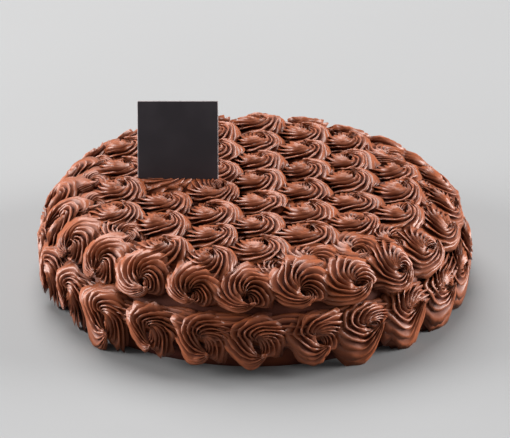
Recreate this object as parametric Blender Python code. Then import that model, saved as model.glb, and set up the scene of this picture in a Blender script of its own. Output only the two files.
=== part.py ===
"""A round cake covered all over in piped chocolate rosettes, with a square plaque stood in the cream.

Metres, +Z up. The origin is the centre of the flat base, and -Y is the side that faces the viewer.
"""

import math
import random

import bmesh
import bpy
from mathutils import Matrix, Vector

# The cake under its piping: a 10 inch round with a full, rounded top edge
CORE_RADIUS = 0.1275
CORE_HEIGHT = 0.0565
SHOULDER_RADIUS = 0.034
FOOT_INSET = 0.0025
CORE_SEGMENTS = 48
SHOULDER_STEPS = 4
FLAT_REACH = CORE_RADIUS - SHOULDER_RADIUS

# One rosette: a star nozzle's mark, whose arms turn in from the rim to the heart
ROSETTE_RADIUS = 0.0172
ROSETTE_RISE = 0.0092
ARMS = 6
# Each ring of a rosette: share of its radius, share of its rise, turn of the arms in degrees,
# and how far crest and groove stand from their mean, as a share of the rise
ROSETTE_RINGS = (
    (1.00, 0.36, 0.0, 0.06),
    (0.70, 0.88, 32.0, 0.10),
    (0.28, 0.88, 80.0, 0.12),
)
HEART_HEIGHT = 0.45
SUNK_DEPTH = 0.0030

# Distances down the cake from the top's centre are measured over the rosettes' crests
CREST_RADIUS = SHOULDER_RADIUS + ROSETTE_RISE
SHOULDER_REACH = CREST_RADIUS * math.pi / 2
WALL_ARC = FLAT_REACH + SHOULDER_REACH

# Where the rosettes sit: two rows round the side and a staggered lattice on the top
LOWER_ROW_COUNT = 25
LOWER_ROW_HEIGHT = 0.0225
LOWER_ROW_ARC = WALL_ARC + CORE_HEIGHT - SHOULDER_RADIUS - LOWER_ROW_HEIGHT
LOWER_ROW_TURN = math.radians(-89.1)
UPPER_ROW_COUNT = 24
UPPER_ROW_ARC = 0.1305
UPPER_ROW_TURN = math.radians(-92.5)
LATTICE_COLUMN = 0.0287
LATTICE_STEP = 0.0308
LATTICE_SHIFT_X = 0.0045
LATTICE_SHIFT_Y = 0.0065
LATTICE_REACH = 0.1046
LATTICE_COLUMNS = 4
LATTICE_STEPS = 5
TOP_ROSETTE_RADIUS = 0.0166
# Small stars fill what the lattice and the upper row leave bare, and stand lower
STAR_LEAST_ROOM = 0.0050
STAR_OVERLAP = 0.0050
STAR_ARCS = (0.092, 0.096, 0.100, 0.104, 0.108, 0.112, 0.116)
STAR_BEARINGS = 180
STAR_LEAST_RISE = 0.3

# Hand-made unevenness
SEED = 21
RADIUS_SPREAD = 0.05
RISE_SPREAD = 0.10
PLACE_SPREAD = 0.0010
ROW_SPREAD = 0.05
TURN_SPREAD = math.radians(14.0)

# The plaque
PLAQUE_WIDTH = 0.050
PLAQUE_HEIGHT = 0.053
PLAQUE_THICKNESS = 0.0026
PLAQUE_EDGE = 0.0004
PLAQUE_LEAN = math.radians(18.0)
PLAQUE_CENTRE_X = -0.0475
PLAQUE_FOOT_Y = -0.0010
PLAQUE_FOOT_Z = 0.0605
SLOT_GAP = 0.0003

# Where rosettes meet, edges shorter than this are closed up
SHORT_EDGE = 0.0014
WELD = 1e-6

CREAM_COLOUR = (0.270, 0.115, 0.065, 1.0)
CREAM_ROUGHNESS = 0.35
PLAQUE_COLOUR = (0.016, 0.011, 0.012, 1.0)
PLAQUE_ROUGHNESS = 0.25


def clear_scene():
    for obj in list(bpy.data.objects):
        bpy.data.objects.remove(obj)


def material(name, colour, roughness):
    made = bpy.data.materials.new(name)
    made.use_nodes = True
    shader = made.node_tree.nodes["Principled BSDF"]
    shader.inputs["Base Color"].default_value = colour
    shader.inputs["Roughness"].default_value = roughness
    shader.inputs["Metallic"].default_value = 0.0
    return made


def add_object(name, bm, finish, collection=None):
    mesh = bpy.data.meshes.new(name)
    bmesh.ops.recalc_face_normals(bm, faces=bm.faces)
    bm.to_mesh(mesh)
    bm.free()
    mesh.materials.append(finish)
    obj = bpy.data.objects.new(name, mesh)
    (collection or bpy.context.scene.collection).objects.link(obj)
    return obj


def surface(azimuth, arc, rise):
    """The point that stands this far above the cake, arc metres down its outline from the top's centre."""
    if arc <= FLAT_REACH:
        radius, height, tilt = arc, CORE_HEIGHT, 0.0
    elif arc <= WALL_ARC:
        tilt = (arc - FLAT_REACH) / CREST_RADIUS
        radius = FLAT_REACH + SHOULDER_RADIUS * math.sin(tilt)
        height = CORE_HEIGHT - SHOULDER_RADIUS * (1 - math.cos(tilt))
    else:
        tilt = math.pi / 2
        radius = CORE_RADIUS
        height = CORE_HEIGHT - SHOULDER_RADIUS - (arc - WALL_ARC)
    out = radius + rise * math.sin(tilt)
    return Vector((out * math.cos(azimuth), out * math.sin(azimuth), height + rise * math.cos(tilt)))


def wrap_side(azimuth, arc):
    """Lays a flat rosette on the side, with its +Y towards the top of the cake."""
    row_radius = surface(0.0, arc, ROSETTE_RISE / 2).x

    def place(point):
        return surface(azimuth + point.x / row_radius, arc - point.y, point.z)

    return place


def wrap_top(x, y):
    """Lays a flat rosette on the top, with its +Y towards the back of the cake."""

    def place(point):
        flat = Vector((x + point.x, y + point.y))
        return surface(math.atan2(flat.y, flat.x), flat.length, point.z)

    return place


def core():
    """The cake itself: the outline from base to top centre, spun round +Z."""
    bm = bmesh.new()
    outline = [Vector((0.0, 0.0, 0.0)), Vector((CORE_RADIUS - FOOT_INSET, 0.0, 0.0))]
    for step in range(SHOULDER_STEPS + 1):
        arc = FLAT_REACH + SHOULDER_REACH * (1 - step / SHOULDER_STEPS)
        outline.append(surface(0.0, arc, 0.0))
    outline.append(Vector((0.0, 0.0, CORE_HEIGHT)))
    verts = [bm.verts.new(point) for point in outline]
    edges = [bm.edges.new(pair) for pair in zip(verts, verts[1:])]
    bmesh.ops.spin(
        bm, geom=verts + edges, cent=(0, 0, 0), axis=(0, 0, 1), angle=2 * math.pi,
        steps=CORE_SEGMENTS, use_merge=True,
    )
    bmesh.ops.remove_doubles(bm, verts=bm.verts, dist=WELD)
    return bm


def rosette(place, radius, rise, turn):
    """One rosette, modelled flat ring by ring from its sunk foot to its heart, then laid on the cake."""
    bm = bmesh.new()
    foot = bmesh.ops.create_circle(bm, cap_ends=True, segments=2 * ARMS, radius=radius)
    ring = foot["verts"]
    bmesh.ops.translate(bm, verts=ring, vec=(0, 0, -SUNK_DEPTH))
    edges = [edge for edge in bm.edges if len(edge.link_faces) == 1]
    turned, share_before = 0.0, 1.0
    for share, height, angle, wave in ROSETTE_RINGS:
        made = bmesh.ops.extrude_edge_only(bm, edges=edges)["geom"]
        ring = [item for item in made if isinstance(item, bmesh.types.BMVert)]
        edges = [item for item in made if isinstance(item, bmesh.types.BMEdge)]
        bmesh.ops.scale(bm, verts=ring, vec=(share / share_before,) * 2 + (1,))
        spin = Matrix.Rotation(math.radians(angle - turned), 3, "Z")
        bmesh.ops.rotate(bm, verts=ring, cent=(0, 0, 0), matrix=spin)
        for vert in ring:
            phase = math.atan2(vert.co.y, vert.co.x) - math.radians(angle)
            crest = math.cos(ARMS * phase)
            vert.co.z = rise * (height + wave * crest)
        turned, share_before = angle, share
    cap = bmesh.ops.contextual_create(bm, geom=edges)["faces"]
    heart = bmesh.ops.poke(bm, faces=cap)["verts"][0]
    heart.co = Vector((0.0, 0.0, rise * HEART_HEIGHT))
    sides = [face for face in bm.faces if len(face.verts) == 4 and face.calc_center_median().z > rise / 2]
    bmesh.ops.triangulate(bm, faces=sides, quad_method="SHORT_EDGE")
    bmesh.ops.rotate(bm, verts=bm.verts, cent=(0, 0, 0), matrix=Matrix.Rotation(turn, 3, "Z"))
    for vert in bm.verts:
        vert.co = place(vert.co)
    return bm


def top_places():
    """Centres of the top's rosettes: columns from front to back, each second one half a step on."""
    places = []
    for column in range(-LATTICE_COLUMNS, LATTICE_COLUMNS + 1):
        x = LATTICE_SHIFT_X + column * LATTICE_COLUMN
        for step in range(-LATTICE_STEPS, LATTICE_STEPS + 1):
            y = LATTICE_SHIFT_Y + (step + 0.5 * (column % 2)) * LATTICE_STEP
            if math.hypot(x, y) <= LATTICE_REACH:
                places.append((x, y))
    return places


def star_places(taken):
    """Centre and radius of each small star: the barest spot gets one, until none is bare enough."""
    bearings = [2 * math.pi * number / STAR_BEARINGS for number in range(STAR_BEARINGS)]
    spots = [(arc * math.cos(turn), arc * math.sin(turn)) for arc in STAR_ARCS for turn in bearings]
    stars = []
    while True:
        rooms = [
            min(math.hypot(spot[0] - x, spot[1] - y) - radius for x, y, radius in taken + stars)
            for spot in spots
        ]
        room = max(rooms)
        if room < STAR_LEAST_ROOM:
            return stars
        x, y = spots[rooms.index(room)]
        stars.append((x, y, room + STAR_OVERLAP))


def layout():
    """Every rosette: how it is laid on the cake, its radius, rise and turn, with a hand's unevenness."""
    draw = random.Random(SEED)

    def uneven(spread):
        return draw.uniform(-spread, spread)

    def piped(place, radius):
        full = min(1.0, STAR_LEAST_RISE + (1 - STAR_LEAST_RISE) * radius / TOP_ROSETTE_RADIUS)
        rise = ROSETTE_RISE * full * (1 + uneven(RISE_SPREAD))
        return place, radius * (1 + uneven(RADIUS_SPREAD)), rise, uneven(TURN_SPREAD)

    made, taken = [], []
    rows = (
        (LOWER_ROW_COUNT, LOWER_ROW_ARC, LOWER_ROW_TURN),
        (UPPER_ROW_COUNT, UPPER_ROW_ARC, UPPER_ROW_TURN),
    )
    for count, arc, turn in rows:
        for number in range(count):
            azimuth = turn + 2 * math.pi * (number + uneven(ROW_SPREAD)) / count
            made.append(piped(wrap_side(azimuth, arc + uneven(PLACE_SPREAD)), ROSETTE_RADIUS))
            taken.append((arc * math.cos(azimuth), arc * math.sin(azimuth), ROSETTE_RADIUS))
    for x, y in top_places():
        x, y = x + uneven(PLACE_SPREAD), y + uneven(PLACE_SPREAD)
        made.append(piped(wrap_top(x, y), TOP_ROSETTE_RADIUS))
        taken.append((x, y, TOP_ROSETTE_RADIUS))
    for x, y, radius in star_places(taken):
        made.append(piped(wrap_top(x, y), radius))
    print("rosettes", len(made), "of them small stars", len(made) - len(taken))
    return made


def plaque(name, gap, finish):
    """The square plate, or with a gap the room that it takes in the cream."""
    bm = bmesh.new()
    bmesh.ops.create_cube(bm, size=1.0)
    size = (PLAQUE_WIDTH + 2 * gap, PLAQUE_THICKNESS + 2 * gap, PLAQUE_HEIGHT + 2 * gap)
    bmesh.ops.scale(bm, verts=bm.verts, vec=size)
    bmesh.ops.translate(bm, verts=bm.verts, vec=(0, 0, PLAQUE_HEIGHT / 2))
    if not gap:
        bmesh.ops.bevel(
            bm, geom=bm.edges[:], offset=PLAQUE_EDGE, segments=2, profile=0.5, affect="EDGES", material=-1
        )
    obj = add_object(name, bm, finish)
    obj.location = (PLAQUE_CENTRE_X, PLAQUE_FOOT_Y, PLAQUE_FOOT_Z)
    obj.rotation_euler.x = -PLAQUE_LEAN
    return obj


def apply_boolean(obj, operation, solver, **operand):
    modifier = obj.modifiers.new(operation.title(), "BOOLEAN")
    modifier.operation = operation
    modifier.solver = solver
    for key, value in operand.items():
        setattr(modifier, key, value)
    graph = bpy.context.evaluated_depsgraph_get()
    fused = bpy.data.meshes.new_from_object(obj.evaluated_get(graph))
    obj.modifiers.clear()
    obj.data = fused


def close_short_edges(obj, shortest):
    """Closes up each edge shorter than this, where the skin stays one closed surface."""
    bm = bmesh.new()
    bm.from_mesh(obj.data)
    bmesh.ops.triangulate(bm, faces=bm.faces)
    for edge in sorted(bm.edges, key=lambda item: item.calc_length()):
        if not edge.is_valid or edge.calc_length() >= shortest:
            continue
        near, far = edge.verts
        around_near = {item.other_vert(near) for item in near.link_edges}
        around_far = {item.other_vert(far) for item in far.link_edges}
        if len(around_near & around_far) == 2:
            bmesh.ops.pointmerge(bm, verts=[near, far], merge_co=(near.co + far.co) / 2)
    bm.to_mesh(obj.data)
    bm.free()


def islands(bm):
    """The sets of vertices that edges join."""
    left = set(bm.verts)
    found = []
    while left:
        front = [left.pop()]
        island = set(front)
        while front:
            vert = front.pop()
            for edge in vert.link_edges:
                other = edge.other_vert(vert)
                if other in left:
                    left.discard(other)
                    island.add(other)
                    front.append(other)
        found.append(island)
    return found


def keep_outer_skin(obj):
    """Fills the hollows sealed between rosettes and drops loose scrap, both being smaller islands."""
    bm = bmesh.new()
    bm.from_mesh(obj.data)
    found = sorted(islands(bm), key=len)
    for island in found[:-1]:
        bmesh.ops.delete(bm, geom=list(island), context="VERTS")
    bm.to_mesh(obj.data)
    bm.free()
    print(obj.name, "islands", len(found), "faces", len(obj.data.polygons))


def cake(finish):
    """The cake with its piping fused on, and the slot that the plaque stands in."""
    body = add_object("cake", core(), finish)
    piping = bpy.data.collections.new("piping")
    bpy.context.scene.collection.children.link(piping)
    for number, (place, radius, rise, turn) in enumerate(layout()):
        add_object(f"rosette_{number}", rosette(place, radius, rise, turn), finish, piping)
    apply_boolean(body, "UNION", "EXACT", operand_type="COLLECTION", collection=piping)
    for obj in list(piping.objects):
        bpy.data.objects.remove(obj)
    close_short_edges(body, SHORT_EDGE)
    slot = plaque("slot", SLOT_GAP, finish)
    bpy.context.view_layer.update()
    apply_boolean(body, "DIFFERENCE", "EXACT", object=slot)
    bpy.data.objects.remove(slot)
    keep_outer_skin(body)


def main():
    clear_scene()
    cake(material("chocolate_cream", CREAM_COLOUR, CREAM_ROUGHNESS))
    plaque("plaque", 0.0, material("dark_chocolate", PLAQUE_COLOUR, PLAQUE_ROUGHNESS))


main()
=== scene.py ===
"""Looks for a round chocolate cake, piped all over with rosettes, with a dark plaque stood in its top.

Everything is in metres, +Z up, with the origin at the centre of the cake's flat base and -Y towards the
viewer. Where the rosettes sit comes from the same named sizes and the same seeded draws as the solids.
"""

import logging
import math
import random
from dataclasses import dataclass, field
from enum import Enum
from typing import Any, Union

import bmesh
import bpy
from mathutils import Matrix, Vector, noise


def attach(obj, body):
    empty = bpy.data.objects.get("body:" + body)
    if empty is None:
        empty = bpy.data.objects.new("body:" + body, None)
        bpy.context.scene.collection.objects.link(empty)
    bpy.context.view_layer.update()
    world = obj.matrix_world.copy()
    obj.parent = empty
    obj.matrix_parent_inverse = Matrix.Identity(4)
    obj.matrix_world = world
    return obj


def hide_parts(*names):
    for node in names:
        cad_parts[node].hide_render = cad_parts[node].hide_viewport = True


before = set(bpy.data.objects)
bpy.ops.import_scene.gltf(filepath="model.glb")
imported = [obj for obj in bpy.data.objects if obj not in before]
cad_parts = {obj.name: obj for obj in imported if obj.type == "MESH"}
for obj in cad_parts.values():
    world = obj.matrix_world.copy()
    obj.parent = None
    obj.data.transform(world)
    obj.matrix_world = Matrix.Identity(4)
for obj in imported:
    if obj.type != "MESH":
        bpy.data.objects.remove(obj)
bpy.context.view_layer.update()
LOG = logging.getLogger("cake")

Colour = tuple[float, float, float]


class Row(Enum):
    """Which part of the piping a rosette belongs to."""

    LOWER = "lower_row"
    UPPER = "upper_row"
    TOP = "top"
    STAR = "stars"


# ------------------------------------------------------------------------------------------- shading


@dataclass(frozen=True)
class Wire:
    """A shader socket that can be used in arithmetic, which adds Math nodes to its board."""

    board: "Board"
    socket: bpy.types.NodeSocket

    def _math(self, operation: str, first: "Value", second: "Value") -> "Wire":
        """Adds one Math node.

        Args:
            operation: the Math node's operation.
            first: its first value.
            second: its second value.

        Returns:
            The node's result.
        """
        return self.board.wire("ShaderNodeMath", {"operation": operation}, {0: first, 1: second})

    def __add__(self, other: "Value") -> "Wire":
        """This value plus another."""
        return self._math("ADD", self, other)

    def __radd__(self, other: "Value") -> "Wire":
        """A number plus this value."""
        return self._math("ADD", other, self)

    def __mul__(self, other: "Value") -> "Wire":
        """This value times another."""
        return self._math("MULTIPLY", self, other)

    def __rmul__(self, other: "Value") -> "Wire":
        """A number times this value."""
        return self._math("MULTIPLY", other, self)


Value = Union[Wire, float, tuple]


class Board:
    """The node tree of one material, with its Principled shader already in place."""

    def __init__(self, name: str) -> None:
        """Makes the material.

        Args:
            name: the material's name.
        """
        self.material = bpy.data.materials.new(name)
        self.material.use_nodes = True
        self.tree = self.material.node_tree
        self.shader = self.tree.nodes["Principled BSDF"]

    def node(self, kind: str, settings: dict[str, Any], inputs: dict[Any, Value]) -> bpy.types.Node:
        """Adds a node of any kind.

        Args:
            kind: the node's type.
            settings: its own settings.
            inputs: values or wires for its sockets, by name or number.

        Returns:
            The node.
        """
        made = self.tree.nodes.new(kind)
        for key, value in settings.items():
            setattr(made, key, value)
        for key, value in inputs.items():
            self.feed(made.inputs[key], value)
        return made

    def wire(
        self, kind: str, settings: dict[str, Any], inputs: dict[Any, Value], output: Any = 0
    ) -> Wire:
        """Adds a node and takes one of its outputs.

        Args:
            kind: the node's type.
            settings: its own settings.
            inputs: values or wires for its sockets.
            output: the wanted output's name or number.

        Returns:
            That output as a wire.
        """
        return Wire(self, self.node(kind, settings, inputs).outputs[output])

    def feed(self, socket: bpy.types.NodeSocket, value: Value) -> None:
        """Links or sets a socket.

        Args:
            socket: the input socket.
            value: a wire, a number, or a colour of three numbers.
        """
        if isinstance(value, Wire):
            self.tree.links.new(value.socket, socket)
        elif isinstance(value, tuple) and len(value) == 3 and len(socket.default_value) == 4:
            socket.default_value = (*value, 1.0)
        else:
            socket.default_value = value

    def surface(self, **inputs: Value) -> None:
        """Feeds the Principled shader.

        Args:
            inputs: socket names with underscores for spaces, and their values or wires.
        """
        for key, value in inputs.items():
            self.feed(self.shader.inputs[key.replace("_", " ").title()], value)

    def place(self) -> Wire:
        """Object coordinates, which stay on the piece."""
        return self.wire("ShaderNodeTexCoord", {}, {}, "Object")

    def speckle(self, scale: float, detail: float = 3.0, rough: float = 0.5) -> Wire:
        """Noise on object coordinates.

        Args:
            scale: how many spots there are to a metre.
            detail: how many finer layers it has.
            rough: how strong the finer layers are.

        Returns:
            The noise's value, about 0 to 1.
        """
        inputs = {"Vector": self.place(), "Scale": scale, "Detail": detail, "Roughness": rough}
        return self.wire("ShaderNodeTexNoise", {}, inputs, "Fac")

    def blend(self, share: Value, low: Value, high: Value) -> Wire:
        """Mixes two colours.

        Args:
            share: 0 for the first, 1 for the second.
            low: the first colour.
            high: the second colour.

        Returns:
            The mixed colour.
        """
        settings = {"data_type": "RGBA", "clamp_factor": True}
        made = self.node("ShaderNodeMix", settings, {0: share, 6: low, 7: high})
        return Wire(self, made.outputs[2])

    def spread(self, value: Value, low: float, high: float, to_low: float, to_high: float) -> Wire:
        """Maps a range of values onto another and clamps it.

        Args:
            value: the value.
            low: where its range starts.
            high: where its range ends.
            to_low: what the start becomes.
            to_high: what the end becomes.

        Returns:
            The mapped value.
        """
        inputs = {0: value, 1: low, 2: high, 3: to_low, 4: to_high}
        return self.wire("ShaderNodeMapRange", {"clamp": True}, inputs)

    def bump(self, height: Value, distance: float) -> Wire:
        """Low relief in the shading.

        Args:
            height: the relief, 0 to 1.
            distance: its full height in metres.

        Returns:
            The bumped normal.
        """
        inputs = {"Height": height, "Distance": distance, "Strength": 1.0}
        return self.wire("ShaderNodeBump", {}, inputs, "Normal")


@dataclass(frozen=True)
class CreamFinish:
    """Whipped chocolate cream, with painted shade: deep brown in the grooves and low down, the ridge
    colour on the ridges.
    """

    name: str = "chocolate_cream"
    ridge: Colour = (0.246, 0.064, 0.023)
    # Painted shade: the colour of the grooves and of the low parts between marks, where shade falls.
    groove: Colour = (0.042, 0.0038, 0.0013)
    warm_patch: Colour = (0.240, 0.060, 0.020)
    gloss: float = 0.42
    dull: float = 0.80
    glaze: float = 0.39
    glaze_rough: float = 0.32
    reflection: float = 0.36
    reflection_tint: Colour = (1.0, 0.72, 0.62)
    bubble: float = 0.00009

    def material(self) -> bpy.types.Material:
        """The cream as a material.

        Returns:
            A material that reads the pieces' ridge mask attribute, 0 in a groove and 1 on a ridge, and
            paints shade with it into the base colour.
        """
        board = Board(self.name)
        crest = board.wire("ShaderNodeAttribute", {"attribute_name": "crest"}, {}, "Fac")
        patches = board.speckle(34.0, detail=2.0)
        fine = board.speckle(900.0, detail=4.0, rough=0.6)
        # Painted shade: the base colour runs from the ridge colour to the dark groove colour along the
        # mask.
        height = board.spread(crest + 0.2 * fine, 0.15, 0.97, 0.0, 1.0)
        base = board.blend(height, self.groove, self.ridge)
        tinted = board.blend(board.spread(patches, 0.45, 0.70, 0.0, 0.45), base, self.warm_patch)
        rough = board.spread(height + 0.3 * board.speckle(160.0), 0.1, 1.0, self.dull, self.gloss)
        pits = board.speckle(2600.0, detail=2.0, rough=0.7)
        board.surface(
            base_color=tinted,
            roughness=rough,
            coat_weight=self.glaze * height,
            normal=board.bump(0.6 * fine + 0.4 * pits, self.bubble),
        )
        board.shader.inputs["Specular IOR Level"].default_value = self.reflection
        board.shader.inputs["Specular Tint"].default_value = (*self.reflection_tint, 1.0)
        board.shader.inputs["Coat Roughness"].default_value = self.glaze_rough
        return board.material


@dataclass(frozen=True)
class PlaqueFinish:
    """Smooth dark chocolate with a faint bloom, for the plaque's faces."""

    name: str = "dark_chocolate"
    face: Colour = (0.0155, 0.0108, 0.0145)
    bloom: Colour = (0.0215, 0.0158, 0.0205)
    gloss: float = 0.34
    dull: float = 0.46

    def material(self) -> bpy.types.Material:
        """The plaque's finish as a material."""
        board = Board(self.name)
        cloud = board.speckle(60.0, detail=3.0)
        grain = board.speckle(2400.0, detail=2.0)
        board.surface(
            base_color=board.blend(board.spread(cloud, 0.4, 0.75, 0.0, 1.0), self.face, self.bloom),
            roughness=board.spread(cloud, 0.3, 0.7, self.gloss, self.dull),
            normal=board.bump(grain, 0.00002),
        )
        return board.material


@dataclass(frozen=True)
class EdgeFinish:
    """The plaque's cut edges, with a painted highlight: a pale colour along them, broken into streaks."""

    name: str = "plaque_edge"
    # Painted highlight: this pale colour stands in for the light caught along the edges.
    painted_glint: Colour = (0.240, 0.200, 0.200)
    dark: Colour = (0.110, 0.085, 0.085)

    def material(self) -> bpy.types.Material:
        """The edges' finish as a material."""
        board = Board(self.name)
        streak = board.speckle(420.0, detail=3.0)
        board.surface(
            base_color=board.blend(board.spread(streak, 0.35, 0.65, 0.0, 1.0), self.dark, self.painted_glint),
            roughness=board.spread(streak, 0.3, 0.7, 0.35, 0.55),
            normal=board.bump(streak, 0.00004),
        )
        return board.material


@dataclass(frozen=True)
class FloorFinish:
    """A plain pale floor."""

    name: str = "pale_floor"
    colour: Colour = (0.209, 0.209, 0.2095)
    lighter: Colour = (0.214, 0.214, 0.215)

    def material(self) -> bpy.types.Material:
        """The floor's finish as a material."""
        board = Board(self.name)
        faint = board.speckle(3.0, detail=1.0)
        board.surface(
            base_color=board.blend(board.spread(faint, 0.3, 0.7, 0.0, 1.0), self.colour, self.lighter),
            roughness=0.75,
        )
        return board.material


# ------------------------------------------------------------------------------------ where things sit


def smoothstep(low: float, high: float, value: float) -> float:
    """An even rise from 0 to 1.

    Args:
        low: where it starts.
        high: where it ends.
        value: the place asked for.

    Returns:
        0 below the range, 1 above it.
    """
    share = min(1.0, max(0.0, (value - low) / (high - low)))
    return share * share * (3 - 2 * share)


@dataclass(frozen=True)
class CakeForm:
    """The cake under its piping, and the way down over the crests from its top's centre."""

    core_radius: float = 0.1275
    core_height: float = 0.0565
    shoulder_radius: float = 0.034
    rosette_rise: float = 0.0092
    swell: float = 0.0028
    swell_azimuth: float = math.radians(152.0)
    swell_power: int = 6
    swell_rises: tuple[float, float] = (0.060, 0.095)
    swell_falls: tuple[float, float] = (0.120, 0.150)

    @property
    def flat_reach(self) -> float:
        """How far out the flat of the top goes."""
        return self.core_radius - self.shoulder_radius

    @property
    def crest_radius(self) -> float:
        """The shoulder's radius over the rosettes' crests."""
        return self.shoulder_radius + self.rosette_rise

    @property
    def wall_arc(self) -> float:
        """How far down the outline the upright side starts."""
        return self.flat_reach + self.crest_radius * math.pi / 2

    def surface(self, azimuth: float, arc: float, rise: float) -> Vector:
        """The point that stands above a spot on the cake.

        Args:
            azimuth: the spot's direction from the axis.
            arc: its distance down the outline from the top's centre.
            rise: how far above the cake the point stands.

        Returns:
            The point.
        """
        if arc <= self.flat_reach:
            radius, height, tilt = arc, self.core_height, 0.0
        elif arc <= self.wall_arc:
            tilt = (arc - self.flat_reach) / self.crest_radius
            radius = self.flat_reach + self.shoulder_radius * math.sin(tilt)
            height = self.core_height - self.shoulder_radius * (1 - math.cos(tilt))
        else:
            tilt = math.pi / 2
            radius = self.core_radius
            height = self.core_height - self.shoulder_radius - (arc - self.wall_arc)
        around = max(0.0, math.cos(azimuth - self.swell_azimuth)) ** self.swell_power
        fading = 1 - smoothstep(*self.swell_falls, arc)
        rise += self.swell * around * smoothstep(*self.swell_rises, arc) * fading
        out = radius + rise * math.sin(tilt)
        height += rise * math.cos(tilt)
        return Vector((out * math.cos(azimuth), out * math.sin(azimuth), height))


@dataclass(frozen=True)
class SideLay:
    """Lays something flat on the side, with its +Y towards the top of the cake."""

    form: CakeForm
    azimuth: float
    arc: float

    def place(self, point: Vector) -> Vector:
        """Where a point of the flat thing goes."""
        row_radius = self.form.surface(0.0, self.arc, self.form.rosette_rise / 2).x
        return self.form.surface(self.azimuth + point.x / row_radius, self.arc - point.y, point.z)


@dataclass(frozen=True)
class TopLay:
    """Lays something flat on the top, with its +Y towards the back of the cake."""

    form: CakeForm
    x: float
    y: float

    def place(self, point: Vector) -> Vector:
        """Where a point of the flat thing goes."""
        flat = Vector((self.x + point.x, self.y + point.y))
        return self.form.surface(math.atan2(flat.y, flat.x), flat.length, point.z)


@dataclass(frozen=True)
class Mark:
    """One rosette or small star: its row, how it is laid, and its own size and turn."""

    row: Row
    lay: Union[SideLay, TopLay]
    radius: float
    rise: float
    turn: float


@dataclass(frozen=True)
class PipingPlan:
    """Two rows of rosettes round the side, a staggered lattice on the top and small stars between."""

    form: CakeForm = CakeForm()
    rosette_radius: float = 0.0172
    top_radius: float = 0.0166
    lower_count: int = 25
    lower_height: float = 0.0225
    lower_turn: float = math.radians(-89.1)
    upper_count: int = 24
    upper_arc: float = 0.1305
    upper_turn: float = math.radians(-92.5)
    lattice_column: float = 0.0287
    lattice_step: float = 0.0308
    lattice_shift: tuple[float, float] = (0.0045, 0.0065)
    lattice_reach: float = 0.1046
    lattice_columns: int = 4
    lattice_steps: int = 5
    star_least_room: float = 0.0050
    star_overlap: float = 0.0050
    star_arcs: tuple[float, ...] = (0.092, 0.096, 0.100, 0.104, 0.108, 0.112, 0.116)
    star_bearings: int = 180
    star_least_rise: float = 0.3
    seed: int = 21
    radius_spread: float = 0.05
    rise_spread: float = 0.10
    place_spread: float = 0.0010
    row_spread: float = 0.05
    turn_spread: float = math.radians(14.0)

    def lattice(self) -> list[tuple[float, float]]:
        """Centres of the top's rosettes: columns from front to back, each second one half a step on."""
        places = []
        for column in range(-self.lattice_columns, self.lattice_columns + 1):
            x = self.lattice_shift[0] + column * self.lattice_column
            for step in range(-self.lattice_steps, self.lattice_steps + 1):
                y = self.lattice_shift[1] + (step + 0.5 * (column % 2)) * self.lattice_step
                if math.hypot(x, y) <= self.lattice_reach:
                    places.append((x, y))
        return places

    def stars(self, taken: list[tuple[float, float, float]]) -> list[tuple[float, float, float]]:
        """Puts a small star on the barest spot, until none is bare enough.

        Args:
            taken: centre and radius of every rosette, with the side unrolled flat.

        Returns:
            Centre and radius of every star.
        """
        turns = [2 * math.pi * number / self.star_bearings for number in range(self.star_bearings)]
        spots = [(arc * math.cos(turn), arc * math.sin(turn)) for arc in self.star_arcs for turn in turns]
        found: list[tuple[float, float, float]] = []
        while True:
            rooms = [
                min(math.hypot(spot[0] - x, spot[1] - y) - radius for x, y, radius in taken + found)
                for spot in spots
            ]
            room = max(rooms)
            if room < self.star_least_room:
                return found
            x, y = spots[rooms.index(room)]
            found.append((x, y, room + self.star_overlap))

    def marks(self) -> list[Mark]:
        """Every rosette and star, with the same draws as the solids."""
        draw = random.Random(self.seed)
        form = self.form

        def uneven(spread: float) -> float:
            """One draw of the hand's unevenness."""
            return draw.uniform(-spread, spread)

        def piped(row: Row, lay: Union[SideLay, TopLay], radius: float) -> Mark:
            """One mark with its own size and turn."""
            least = self.star_least_rise
            full = min(1.0, least + (1 - least) * radius / self.top_radius)
            rise = form.rosette_rise * full * (1 + uneven(self.rise_spread))
            own = radius * (1 + uneven(self.radius_spread))
            return Mark(row, lay, own, rise, uneven(self.turn_spread))

        made, taken = [], []
        lower_arc = form.wall_arc + form.core_height - form.shoulder_radius - self.lower_height
        rows = (
            (Row.LOWER, self.lower_count, lower_arc, self.lower_turn),
            (Row.UPPER, self.upper_count, self.upper_arc, self.upper_turn),
        )
        for row, count, arc, turn in rows:
            for number in range(count):
                azimuth = turn + 2 * math.pi * (number + uneven(self.row_spread)) / count
                lay = SideLay(form, azimuth, arc + uneven(self.place_spread))
                made.append(piped(row, lay, self.rosette_radius))
                taken.append((arc * math.cos(azimuth), arc * math.sin(azimuth), self.rosette_radius))
        for x, y in self.lattice():
            x, y = x + uneven(self.place_spread), y + uneven(self.place_spread)
            made.append(piped(Row.TOP, TopLay(form, x, y), self.top_radius))
            taken.append((x, y, self.top_radius))
        for x, y, radius in self.stars(taken):
            made.append(piped(Row.STAR, TopLay(form, x, y), radius))
        return made


# ---------------------------------------------------------------------------------------- the piping


def new_object(
    name: str, bm: bmesh.types.BMesh, materials: list[bpy.types.Material]
) -> bpy.types.Object:
    """Makes a piece from a bmesh and frees the bmesh.

    Args:
        name: the piece's name.
        bm: its shape, in place.
        materials: its materials, in the order of its faces' slots.

    Returns:
        The piece.
    """
    mesh = bpy.data.meshes.new(name)
    bm.to_mesh(mesh)
    bm.free()
    for finish in materials:
        mesh.materials.append(finish)
    piece = bpy.data.objects.new(name, mesh)
    bpy.context.scene.collection.objects.link(piece)
    return piece


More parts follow.
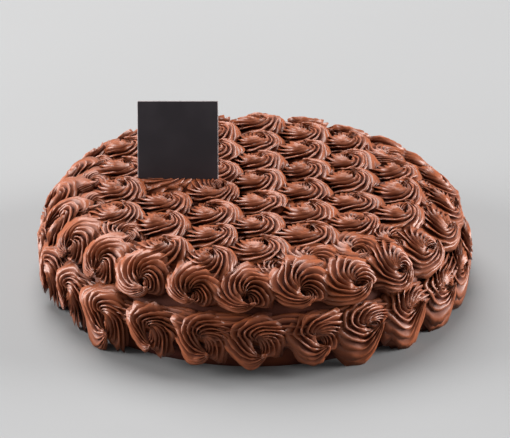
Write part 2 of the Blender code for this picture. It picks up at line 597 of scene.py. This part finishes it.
@dataclass(frozen=True)
class NozzleSwirl:
    """One rosette of radius 1 and rise 1: the rope of cream that a star nozzle lays once round.

    The nozzle isn't turned as it travels, so each of its teeth starts a ridge at the rope's outer edge,
    which climbs over the rope and runs down into the heart. The rope ends in a pulled-off point.
    """

    teeth: int = 15
    samples: int = 5
    steps: int = 50
    rope: float = 0.57
    depth: float = 0.88
    groove: float = 0.50
    sharpness: float = 1.8
    start: float = math.radians(-54.0)
    sweep: float = math.radians(375.0)
    early_roll: float = 1.35
    late_roll: float = 0.50
    roll_fade: float = 0.40
    start_taper: float = 0.30
    start_girth: float = 0.70
    nose: float = 1.0
    nose_length: float = 0.06
    start_reach: float = 0.88
    start_dip: float = 0.70
    least_girth: float = 0.035
    girth_fall: float = 0.8
    tail_from: float = 0.58
    tail_reach: float = 0.45
    tail_height: float = 1.02
    unevenness: float = 0.12
    girth_unevenness: float = 1.3
    drift_pace: float = 2.3
    girth_pace: float = 3.1
    tooth_pace: float = 5.3
    tooth_spread: float = 0.45
    fingers: float = 0.33
    finger_rises: tuple[float, float] = (0.55, 1.0)
    finger_clears: tuple[float, float] = (-0.8, 0.0)
    finger_middle: float = 0.6
    finger_scale: float = 2.5

    def girth(self, share: float) -> float:
        """The rope's thickness along it, as a share of its full one.

        Args:
            share: how far along the rope, 0 to 1.

        Returns:
            The thickness.
        """
        swell = self.start_girth + (1 - self.start_girth) * smoothstep(0.0, self.start_taper, share)
        swell *= self.nose + (1 - self.nose) * smoothstep(0.0, self.nose_length, share)
        gone = max(0.0, (share - self.tail_from) / (1 - self.tail_from))
        return swell * max(self.least_girth, (1 - gone) ** self.girth_fall)

    def roll(self, share: float) -> float:
        """How far the teeth have turned round the rope: fast at first, then nearly along it.

        Args:
            share: how far along the rope, 0 to 1.

        Returns:
            The angle.
        """
        faded = self.roll_fade * (1 - math.exp(-share / self.roll_fade))
        return self.sweep * (self.late_roll * share + (self.early_roll - self.late_roll) * faded)

    def ring_matrix(self, share: float, salt: float) -> Matrix:
        """Puts the nozzle's ring where the rope is.

        Args:
            share: how far along the rope, 0 to 1.
            salt: tells one rosette's unevenness from the next's.

        Returns:
            The ring's placing, from a ring of radius 1 in the XZ plane.
        """
        angle = self.start + self.sweep * share
        drift = self.unevenness * noise.noise(Vector((self.drift_pace * share, salt, 0.5)))
        swing = noise.noise(Vector((self.girth_pace * share, salt, 7.7)))
        girth = self.rope * self.girth(share) * (1 + self.girth_unevenness * self.unevenness * swing)
        tail = smoothstep(self.tail_from, 1.0, share)
        opened = smoothstep(0.0, self.start_taper, share)
        radius = (1 - self.rope) * (self.start_reach + (1 - self.start_reach) * opened) * (1 + drift)
        radius += (self.tail_reach - radius) * tail
        top = 1.0 - (1 - self.start_girth) * (1 - opened) * self.start_dip
        height = top * (1 + (self.tail_height - 1) * tail) - girth * self.depth / self.rope
        centre = Matrix.Translation((radius * math.cos(angle), radius * math.sin(angle), height))
        flat = Matrix.Diagonal((1, 1, self.depth / self.rope, 1))
        rolled = Matrix.Rotation(-self.roll(share), 4, "Y")
        return centre @ Matrix.Rotation(angle, 4, "Z") @ flat @ rolled @ Matrix.Scale(girth, 4)

    def mesh(self, salt: float) -> bpy.types.Mesh:
        """Sweeps the nozzle's ring along the rope.

        Args:
            salt: tells one rosette's unevenness from the next's.

        Returns:
            The rosette's mesh, with its ridge mask attribute, which the cream uses for painted shade in
            the grooves.
        """
        bm = bmesh.new()
        crest = bm.verts.layers.float.new("crest")
        around = self.teeth * self.samples
        ring = bmesh.ops.create_circle(bm, cap_ends=True, segments=around, radius=1.0)["verts"]
        for vert in ring:
            bearing = math.atan2(vert.co.y, vert.co.x)
            tooth = round(self.teeth * bearing / (2 * math.pi)) % self.teeth
            # The tooth profile shapes the ridges, and the same value marks the grooves for painted shade.
            vert[crest] = (0.5 + 0.5 * math.cos(self.teeth * bearing)) ** self.sharpness
            tall = self.tooth_spread * noise.noise(Vector((self.tooth_pace * tooth, salt, 3.1)))
            vert.co *= 1 - self.groove * (1 - vert[crest] * (1 + tall))
        upright = Matrix.Rotation(math.pi / 2, 4, "X")
        before = self.ring_matrix(0.0, salt)
        bmesh.ops.transform(bm, matrix=before @ upright, space=Matrix.Identity(4), verts=ring)
        edges = list(bm.edges)
        for step in range(1, self.steps + 1):
            made = bmesh.ops.extrude_edge_only(bm, edges=edges)["geom"]
            ring = [item for item in made if isinstance(item, bmesh.types.BMVert)]
            edges = [item for item in made if isinstance(item, bmesh.types.BMEdge)]
            here = self.ring_matrix(step / self.steps, salt)
            move = here @ before.inverted()
            bmesh.ops.transform(bm, matrix=move, space=Matrix.Identity(4), verts=ring)
            before = here
        tip = sum((vert.co for vert in ring), Vector()) / len(ring)
        bmesh.ops.pointmerge(bm, verts=ring, merge_co=tip)
        for vert in bm.verts:
            out = smoothstep(*self.finger_rises, vert.co.xy.length)
            out *= smoothstep(*self.finger_clears, vert.co.y)
            swing = noise.noise(vert.co * self.finger_scale + Vector((salt, 0, 0)))
            reach = 1 + self.fingers * out * (vert[crest] - self.finger_middle + swing)
            vert.co.x *= reach
            vert.co.y *= reach
        bmesh.ops.recalc_face_normals(bm, faces=bm.faces)
        for face in bm.faces:
            face.smooth = True
        mesh = bpy.data.meshes.new("swirl")
        bm.to_mesh(mesh)
        bm.free()
        return mesh


@dataclass(frozen=True)
class Drag:
    """One band of cream dragged right round the side, with a few low folds along it."""

    name: str
    arc: float
    width: float
    rise: float
    folds: int = 9
    samples: int = 6
    steps: int = 300
    groove: float = 0.35
    sharpness: float = 1.6
    sway: float = 0.0016
    sway_reach: float = 4.0
    width_spread: float = 0.5
    rise_spread: float = 0.45
    most_roll: float = 1.2
    bed: float = -0.002
    lit: float = 0.75
    salt: float = 0.0

    def build(self, form: CakeForm, finish: bpy.types.Material) -> bpy.types.Object:
        """Sweeps the band round the cake and joins its ends.

        Args:
            form: the cake that it is laid on.
            finish: its material.

        Returns:
            The piece.
        """
        bm = bmesh.new()
        crest = bm.verts.layers.float.new("crest")
        ring = bmesh.ops.create_circle(bm, segments=self.folds * self.samples, radius=1.0)["verts"]
        for vert in ring:
            bearing = math.atan2(vert.co.y, vert.co.x)
            fold = (0.5 + 0.5 * math.cos(self.folds * bearing)) ** self.sharpness
            vert.co *= 1 - self.groove * (1 - fold)
            # Painted shade: the folds' grooves get the dark groove colour, and lit holds the whole band
            # below the full ridge colour.
            vert[crest] = self.lit * fold
        upright = Matrix.Rotation(math.pi / 2, 4, "X") @ Matrix.Rotation(math.pi / 2, 4, "Y")
        bmesh.ops.transform(bm, matrix=upright, space=Matrix.Identity(4), verts=ring)
        rings = [(0.0, list(ring))]
        edges = list(bm.edges)
        for step in range(1, self.steps + 1):
            made = bmesh.ops.extrude_edge_only(bm, edges=edges)["geom"]
            edges = [item for item in made if isinstance(item, bmesh.types.BMEdge)]
            ring = [item for item in made if isinstance(item, bmesh.types.BMVert)]
            rings.append((2 * math.pi * step / self.steps, ring))
        far = self.sway_reach
        for azimuth, verts in rings:
            spot = Vector((far * math.cos(azimuth), far * math.sin(azimuth), self.salt))
            shift = self.sway * noise.noise(spot * 2.0)
            swing = noise.noise(spot * 1.7 + Vector((0, 0, 9.1)))
            wide = self.width * (1 + self.width_spread * swing)
            swing = noise.noise(spot * 2.3 + Vector((0, 0, 4.3)))
            high = self.rise * (1 + self.rise_spread * swing)
            swing = noise.noise(spot * 0.9 + Vector((0, 0, 2.7)))
            roll = Matrix.Rotation(self.most_roll * swing, 3, "X")
            for vert in verts:
                flat = roll @ vert.co
                arc = self.arc + shift - wide * flat.y
                vert.co = form.surface(azimuth, arc, max(self.bed, high * flat.z))
                vert.co.z = max(0.0, vert.co.z)
        bmesh.ops.remove_doubles(bm, verts=rings[0][1] + rings[-1][1], dist=1e-6)
        bmesh.ops.recalc_face_normals(bm, faces=bm.faces)
        for face in bm.faces:
            face.smooth = True
        return new_object(self.name, bm, [finish])


@dataclass(frozen=True)
class Fit:
    """How a row's rosettes are fitted over the solids' ones.

    The first three are their width and their height above and below the eye, against the solids'. Then
    come the eye's shift up the outline, the way the tail lies, and how much of the ridge colour the
    painted shade low down leaves.
    """

    wide: float
    above: float
    below: float
    up: float = 0.0
    facing: float = 0.0
    shade: float = 0.10


@dataclass
class Piping:
    """All the rosettes and stars, in one piece for each row and two for the top."""

    plan: PipingPlan
    finish: bpy.types.Material
    plaque: "Plaque"
    top_swirl: NozzleSwirl = NozzleSwirl()
    side_swirl: NozzleSwirl = NozzleSwirl(nose=0.45)
    kinds: int = 12
    top_extra_turn: float = math.radians(40.0)
    side_extra_turn: float = math.radians(25.0)
    side_turn: float = math.radians(36.0)
    squash: float = 0.16
    ripple: float = 0.00040
    ripple_scale: float = 420.0
    waver: float = 0.0014
    waver_scale: float = 85.0
    waver_shifts: tuple[Vector, ...] = (
        Vector((0.0, 0.0, 0.0)),
        Vector((31.7, 0.0, 5.3)),
        Vector((0.0, 47.1, 9.9)),
    )
    fits: dict[Row, Fit] = field(default_factory=lambda: {
        Row.LOWER: Fit(1.18, 0.96, 1.40, up=0.0040),
        Row.UPPER: Fit(1.16, 1.34, 1.16, up=0.0012),
        Row.TOP: Fit(1.13, 1.06, 1.20, up=0.0004, facing=math.radians(140.0), shade=0.30),
        Row.STAR: Fit(1.35, 1.35, 1.35),
    })
    star_rise: float = 0.7
    # Painted shade fades out over this share of a mark's rise.
    crest_rises: tuple[float, float] = (-0.05, 0.72)
    front_rises: tuple[float, float] = (0.80, 0.97)
    seam_gap: float = 0.20
    settle: float = 0.24
    settle_middle: float = 0.72
    settle_swing: float = 0.28
    settle_rises: tuple[float, float] = (0.30, 0.85)
    sink: float = 0.0062
    sink_reach: float = 0.0230
    front_hold: float = 0.8
    top_lean: float = 0.12
    lean_rises: tuple[float, float] = (-0.6, 0.9)
    stocks: dict[bool, list[bpy.types.Mesh]] = field(default_factory=dict)

    def build(self) -> list[bpy.types.Object]:
        """Lays every mark on the cake.

        Returns:
            The pieces.
        """
        for side, swirl in ((True, self.side_swirl), (False, self.top_swirl)):
            self.stocks[side] = [swirl.mesh(3.7 * kind) for kind in range(self.kinds)]
        marks = self.plan.marks()
        groups = {
            "lower_row": [mark for mark in marks if mark.row is Row.LOWER],
            "upper_row": [mark for mark in marks if mark.row is Row.UPPER],
            "top_left": [mark for mark in marks if mark.row is Row.TOP and mark.lay.x < 0],
            "top_right": [mark for mark in marks if mark.row is Row.TOP and mark.lay.x >= 0],
            "small_stars": [mark for mark in marks if mark.row is Row.STAR],
        }
        return [self._piece(name, group) for name, group in groups.items()]

    def _piece(self, name: str, marks: list[Mark]) -> bpy.types.Object:
        """Joins some marks into one piece.

        Args:
            name: the piece's name.
            marks: its rosettes or stars.

        Returns:
            The piece.
        """
        bm = bmesh.new()
        for number, mark in enumerate(marks):
            stock = self.stocks[isinstance(mark.lay, SideLay)]
            self._lay(bm, mark, stock[(5 * number + len(name)) % self.kinds], number)
        piece = new_object(name, bm, [self.finish])
        LOG.info("%s: %d marks, %d faces", name, len(marks), len(piece.data.polygons))
        return piece

    def _lay(self, bm: bmesh.types.BMesh, mark: Mark, stock: bpy.types.Mesh, number: int) -> None:
        """Adds one mark to a piece, sized, turned, rippled and laid on the cake.

        Args:
            bm: the piece so far.
            mark: the mark.
            stock: the flat mesh that it is made from.
            number: its number in the piece.
        """
        known = len(bm.verts)
        bm.from_mesh(stock)
        bm.verts.ensure_lookup_table()
        verts = bm.verts[known:]
        rise = mark.rise * (self.star_rise if mark.row is Row.STAR else 1.0)
        size = Matrix.Diagonal((mark.radius, mark.radius, rise, 1))
        fit = self.fits[mark.row]
        wide, above, below, facing = fit.wide, fit.above, fit.below, fit.facing
        settle, ahead, extra_turn = 0.0, 0.0, self.top_extra_turn
        if isinstance(mark.lay, SideLay):
            extra_turn = self.side_extra_turn
            facing += self.side_turn * math.sin(mark.lay.azimuth + math.pi / 2)
            ahead = smoothstep(*self.front_rises, -math.sin(mark.lay.azimuth))
            gap = self.seam_gap * ahead
            if mark.row is Row.LOWER:
                above, below = above - gap, below + gap / 2
                left = self.settle_middle - self.settle_swing * math.cos(mark.lay.azimuth)
                settle = self.settle * (1 - ahead) * left
            else:
                below -= gap
        facing += extra_turn * noise.noise(Vector((7.7 * number, 0.4, 0.9)))
        wide *= 1 + self.squash * noise.noise(Vector((9.1 * number, 5.4, 0.2)))
        tall = 1 + self.squash * noise.noise(Vector((4.3 * number, 1.4, 6.2)))
        turned = Matrix.Rotation(mark.turn + facing, 4, "Z")
        stretch = Matrix.Diagonal((wide, tall, 1, 1)) @ turned @ size
        bmesh.ops.transform(bm, matrix=stretch, space=Matrix.Identity(4), verts=verts)
        crest = bm.verts.layers.float["crest"]
        for vert in verts:
            spot = vert.co * self.ripple_scale + Vector((17.3 * number, 0.0, 0.0))
            vert.co += vert.normal * (self.ripple * (0.4 + vert[crest]) * noise.noise(spot))
            spot = vert.co * self.waver_scale + Vector((0.0, 3.9 * number, 0.0))
            vert.co += Vector([noise.noise(spot + shift) for shift in self.waver_shifts]) * self.waver
            # Painted shade: each mark's colour darkens low down, near the cake and between the marks,
            # down to fit.shade of the ridge colour.
            out_of_shade = smoothstep(*self.crest_rises, vert.co.z / mark.rise)
            vert[crest] *= fit.shade + (1 - fit.shade) * out_of_shade
            if mark.row is Row.TOP:
                vert.co.z *= 1 - self.top_lean * smoothstep(*self.lean_rises, vert.co.y / mark.radius)
            settled = 1 + settle * smoothstep(*self.settle_rises, -vert.co.y / mark.radius)
            vert.co.y = fit.up + vert.co.y * (above if vert.co.y > 0 else below * settled)
            vert.co = self.plaque.press(mark.lay.place(vert.co))
        if mark.row is Row.LOWER:
            self._sink(verts, 1 - self.front_hold * ahead)

    def _sink(self, verts: list[bmesh.types.BMVert], share: float) -> None:
        """Draws a lower rosette's foot down to the floor, as soft cream slumps.

        Args:
            verts: the rosette's vertices, laid on the cake.
            share: how much of the way it goes.
        """
        drop = max(0.0, min(vert.co.z for vert in verts) + self.sink) * share
        for vert in verts:
            vert.co.z -= drop * (1 - smoothstep(0.0, self.sink_reach, vert.co.z))
            vert.co.z = max(0.0, vert.co.z)


# -------------------------------------------------------------------------------- coat, plaque, studio


@dataclass
class Coat:
    """The spread cream that shows between the rosettes and at the foot."""

    form: CakeForm
    finish: bpy.types.Material
    plaque: "Plaque"
    segments: int = 180
    top_steps: int = 26
    shoulder_steps: int = 16
    wall_steps: int = 6
    foot_inset: float = 0.0026
    front_inset: float = 0.0070
    front_rises: tuple[float, float] = (0.55, 0.95)
    waves: float = 0.0005
    wave_scale: float = 60.0
    still_foot: float = 0.001
    lit: float = 0.34

    def build(self) -> bpy.types.Object:
        """Spins the cake's outline and drags it a little uneven.

        Returns:
            The piece.
        """
        form = self.form
        arcs = [form.flat_reach * step / self.top_steps for step in range(1, self.top_steps)]
        reach = form.wall_arc - form.flat_reach
        steps = range(self.shoulder_steps + 1)
        arcs += [form.flat_reach + reach * step / self.shoulder_steps for step in steps]
        outline = [Vector((0.0, 0.0, form.core_height))]
        outline += [form.surface(0.0, arc, 0.0) for arc in arcs]
        foot = Vector((form.core_radius - self.foot_inset, 0.0, 0.0))
        wall = outline[-1]
        outline += [wall.lerp(foot, step / self.wall_steps) for step in range(1, self.wall_steps + 1)]
        outline.append(Vector((0.0, 0.0, 0.0)))
        bm = bmesh.new()
        crest = bm.verts.layers.float.new("crest")
        verts = [bm.verts.new(point) for point in outline]
        edges = [bm.edges.new(pair) for pair in zip(verts, verts[1:])]
        bmesh.ops.spin(
            bm, geom=verts + edges, cent=(0, 0, 0), axis=(0, 0, 1), angle=2 * math.pi,
            steps=self.segments, use_merge=True,
        )
        bmesh.ops.remove_doubles(bm, verts=bm.verts, dist=1e-6)
        bmesh.ops.recalc_face_normals(bm, faces=bm.faces)
        for vert in bm.verts:
            # Painted shade: the coat's colour darkens from the top of the wall down to the foot, where it
            # shows between the rosettes.
            vert[crest] = self.lit * smoothstep(wall.z, form.core_height, vert.co.z)
            low = 1 - smoothstep(0.0, wall.z, vert.co.z)
            ahead = smoothstep(*self.front_rises, -vert.co.y / form.core_radius)
            vert.co.xy *= 1 - (self.front_inset - self.foot_inset) / form.core_radius * low * ahead
            if vert.co.z > self.still_foot:
                vert.co += vert.normal * (self.waves * noise.noise(vert.co * self.wave_scale))
                vert.co = self.plaque.press(vert.co)
        for face in bm.faces:
            face.smooth = abs(face.normal.z + 1) > 0.01
        return new_object("coat", bm, [self.finish])


@dataclass
class Plaque:
    """The thin square plate that leans back in the cream, left plain."""

    face: bpy.types.Material
    edge: bpy.types.Material
    width: float = 0.050
    height: float = 0.053
    thickness: float = 0.0026
    edge_round: float = 0.0005
    lean: float = math.radians(18.0)
    centre_x: float = -0.0475
    foot_y: float = -0.0010
    foot_z: float = 0.0605
    heap: float = 0.0662
    heap_reach: float = 0.0085
    heap_spread: float = 0.22
    heap_behind: float = 0.004
    heap_depth: float = 0.006
    heap_flat: float = 0.0015
    heap_ends: tuple[float, float] = (0.001, 0.006)

    def press(self, point: Vector) -> Vector:
        """Where cream goes that the plate's foot has pushed level in front of it.

        Args:
            point: a point of the cream.

        Returns:
            The point, brought near the heap's height where it is close in front of the plate's foot.
        """
        ahead = self.foot_y - self.thickness / 2 - point.y
        side = abs(point.x - self.centre_x) - self.width / 2
        if -self.heap_behind < ahead < self.heap_reach and point.z > self.foot_z - self.heap_depth:
            near = 1 - smoothstep(self.heap_flat, self.heap_reach, max(0.0, ahead))
            share = (1 - self.heap_spread) * near * (1 - smoothstep(*self.heap_ends, side))
            return point + Vector((0.0, 0.0, (self.heap - point.z) * share))
        return point

    def build(self) -> bpy.types.Object:
        """Shapes the plate and stands it in place.

        Returns:
            The piece.
        """
        bm = bmesh.new()
        bmesh.ops.create_cube(bm, size=1.0)
        bmesh.ops.scale(bm, verts=bm.verts, vec=(self.width, self.thickness, self.height))
        bmesh.ops.translate(bm, verts=bm.verts, vec=(0, 0, self.height / 2))
        bmesh.ops.bevel(
            bm, geom=bm.edges[:], offset=self.edge_round, segments=4, profile=0.5,
            affect="EDGES", material=-1,
        )
        for face in bm.faces:
            face.smooth = True
            face.material_index = 0 if abs(face.normal.y) > 0.9 else 1
        stand = Matrix.Translation((self.centre_x, self.foot_y, self.foot_z))
        stand = stand @ Matrix.Rotation(-self.lean, 4, "X")
        bmesh.ops.transform(bm, matrix=stand, space=Matrix.Identity(4), verts=bm.verts)
        return new_object("plaque_plate", bm, [self.face, self.edge])


@dataclass(frozen=True)
class Softbox:
    """One area light that looks at the cake."""

    name: str
    place: tuple[float, float, float]
    size: float
    watts: float
    aim: tuple[float, float, float] = (0.0, 0.0, 0.04)

    def build(self) -> bpy.types.Object:
        """Makes the light.

        Returns:
            The light's object.
        """
        lamp = bpy.data.lights.new(self.name, "AREA")
        lamp.shape = "DISK"
        lamp.size = self.size
        lamp.energy = self.watts
        light = bpy.data.objects.new(self.name, lamp)
        bpy.context.scene.collection.objects.link(light)
        light.location = self.place
        towards = Vector(self.aim) - Vector(self.place)
        light.rotation_euler = towards.to_track_quat("-Z", "Y").to_euler()
        return light


@dataclass
class Studio:
    """The pale floor, the soft lights and the camera at the photograph's angle."""

    image_width: float = 510.0
    focal_pixels: float = 2046.0
    distance: float = 1.300
    elevation: float = math.radians(27.2)
    aim: tuple[float, float, float] = (0.0003, 0.0, 0.0372)
    sensor: float = 36.0
    floor_reach: float = 6.0
    ambient: float = 0.32
    ambient_colour: Colour = (0.98, 0.99, 1.0)
    boxes: tuple[Softbox, ...] = (
        Softbox("back_top", (-0.70, 2.20, 3.30), 3.2, 266.0),
        Softbox("left", (-3.30, 0.15, 1.00), 2.2, 240.0),
        Softbox("right", (3.30, 0.25, 0.95), 2.2, 258.0),
    )

    def build(self) -> None:
        """Sets up floor, lights, world and camera."""
        self._floor()
        for box in self.boxes:
            box.build()
        world = bpy.data.worlds.new("studio")
        world.use_nodes = True
        background = world.node_tree.nodes["Background"]
        background.inputs["Color"].default_value = (*self.ambient_colour, 1.0)
        background.inputs["Strength"].default_value = self.ambient
        bpy.context.scene.world = world
        bpy.context.scene.view_settings.view_transform = "Standard"
        self._camera()

    def _floor(self) -> None:
        """Lays the floor."""
        bm = bmesh.new()
        bmesh.ops.create_grid(bm, x_segments=4, y_segments=4, size=self.floor_reach)
        floor = new_object("floor", bm, [FloorFinish().material()])

    def _camera(self) -> None:
        """Stands the camera where the photograph was taken from."""
        lens = bpy.data.cameras.new("camera")
        lens.sensor_width = self.sensor
        lens.lens = self.focal_pixels / self.image_width * lens.sensor_width
        camera = bpy.data.objects.new("camera", lens)
        bpy.context.scene.collection.objects.link(camera)
        back = self.distance * math.cos(self.elevation)
        camera.location = (0.0, -back, self.distance * math.sin(self.elevation))
        towards = Vector(self.aim) - camera.location
        camera.rotation_euler = towards.to_track_quat("-Z", "Y").to_euler()
        bpy.context.scene.camera = camera


def main() -> None:
    """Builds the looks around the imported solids."""
    logging.basicConfig(level=logging.INFO, format="%(name)s: %(message)s")
    cream = CreamFinish().material()
    plan = PipingPlan()
    plaque = Plaque(PlaqueFinish().material(), EdgeFinish().material())
    coat = Coat(plan.form, cream, plaque).build()
    seam = plan.form.wall_arc - 0.0065
    drags = (
        Drag("seam_drag", seam, 0.0110, 0.0062, folds=15, samples=5, sway=0.0030, salt=1.0),
        Drag("shoulder_drag", 0.1120, 0.0085, 0.0042, salt=9.0),
    )
    pieces = [coat] + [drag.build(plan.form, cream) for drag in drags]
    pieces += Piping(plan, cream, plaque).build()
    for piece in pieces:
        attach(piece, "root")
        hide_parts("cake")
    plate = plaque.build()
    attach(plate, "root")
    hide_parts("plaque")
    for piece in pieces + [plate]:
        LOG.info("%s built", piece.name)
    Studio().build()


if __name__ == "__main__":
    main()
